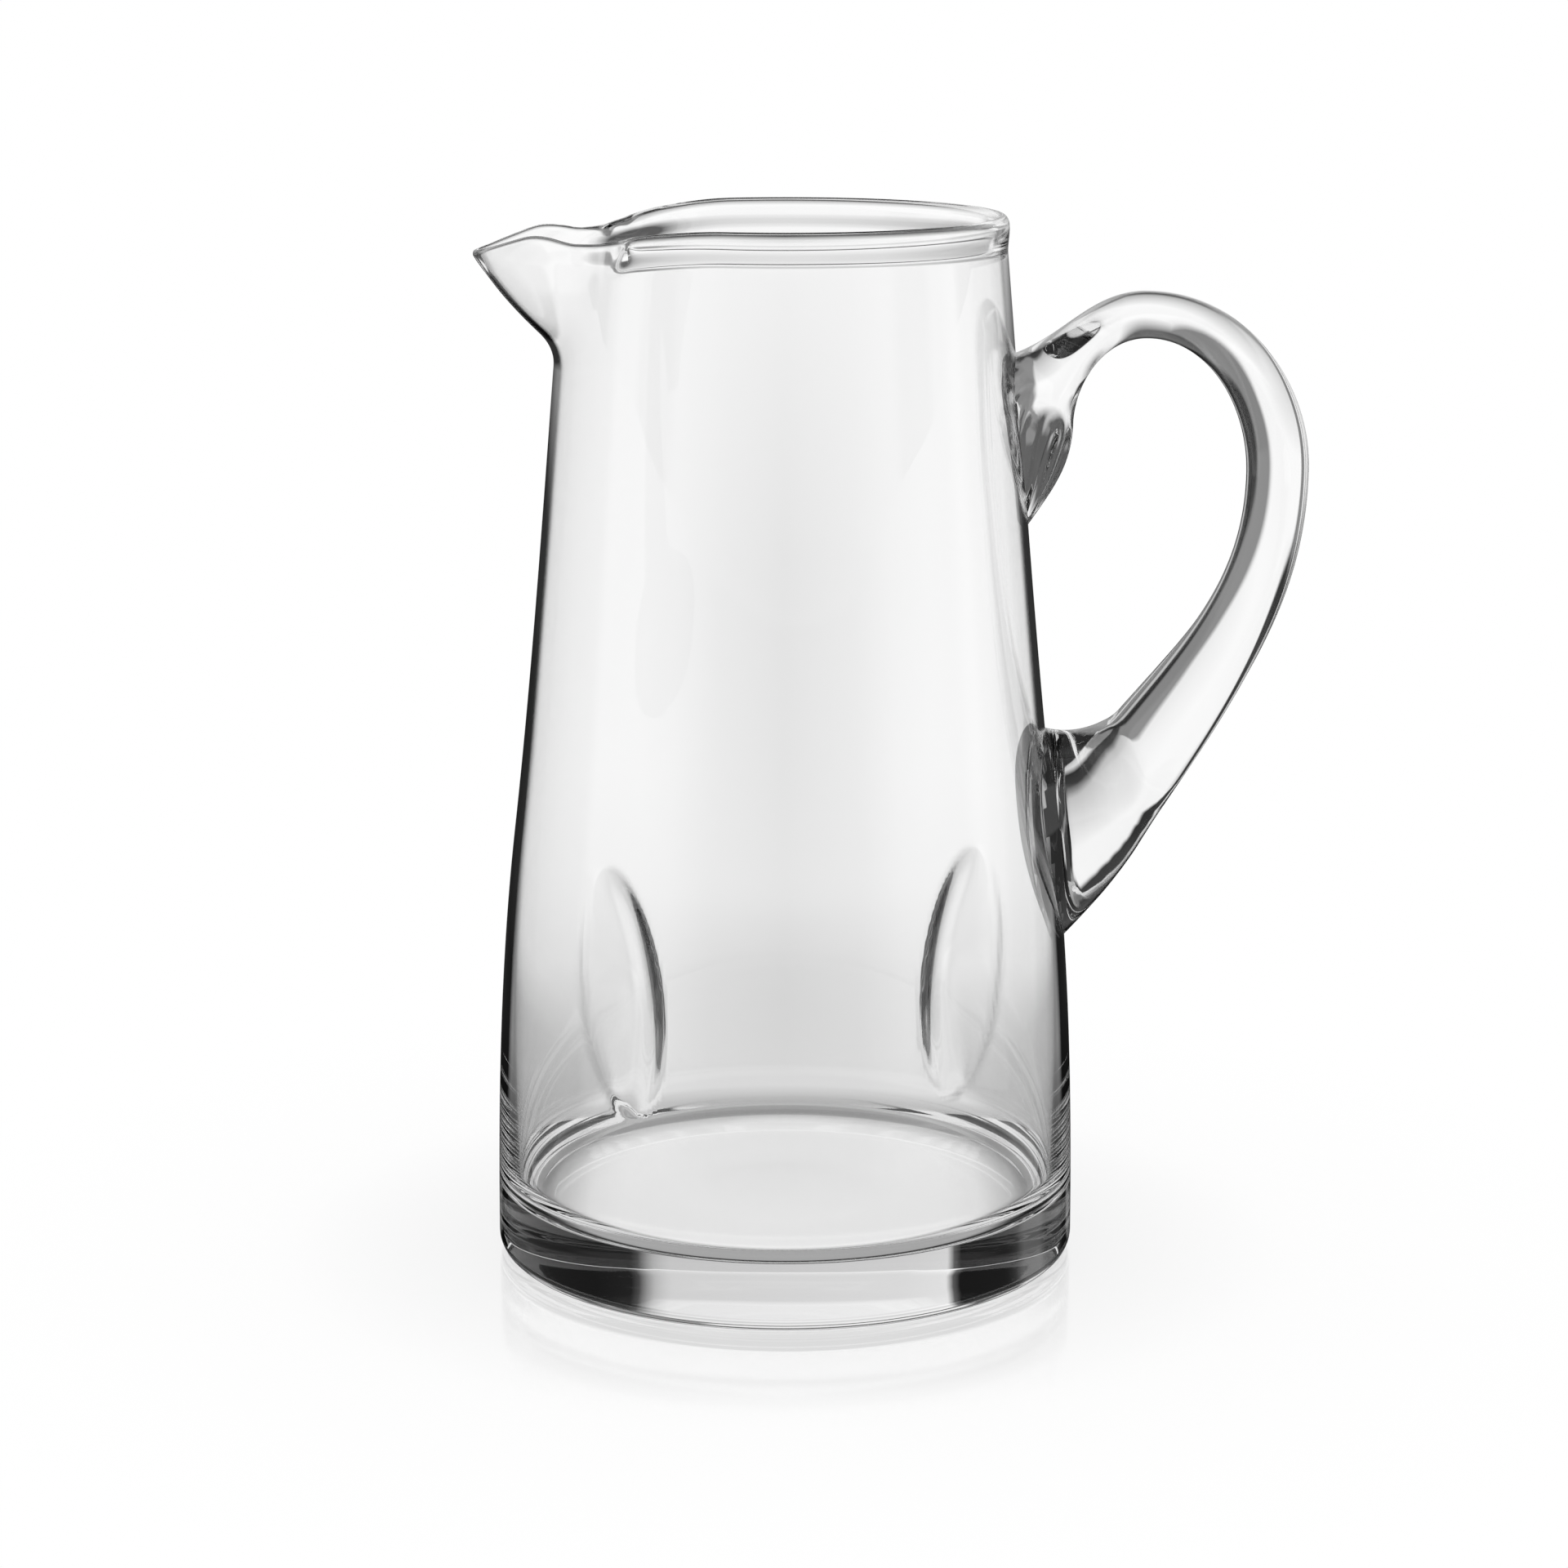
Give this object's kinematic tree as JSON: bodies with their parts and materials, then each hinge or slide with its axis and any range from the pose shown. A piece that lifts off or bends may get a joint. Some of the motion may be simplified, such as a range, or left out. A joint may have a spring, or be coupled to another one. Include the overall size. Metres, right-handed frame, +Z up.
{
  "type": "cocktail pitcher",
  "caption": "Tapered clear glass pitcher with a heavy base, two pressed thumbprints, a pinched pouring lip and an applied loop handle, for mixing and serving drinks.",
  "frame": {"origin": "centre of the flat underside, on the vessel's axis", "axes": "+Z up along the vessel's axis, -X towards the pouring lip, +X towards the handle, +Y to the side"},
  "size_m": [0.1929, 0.137, 0.2449],
  "materials": {
    "vessel_glass": "clear colourless blown glass, fire-polished",
    "handle_glass": "clear colourless drawn glass, fire-polished"
  },
  "bodies": {
    "root": {"vessel": "vessel_glass", "handle": "handle_glass"}
  },
  "joints": []
}
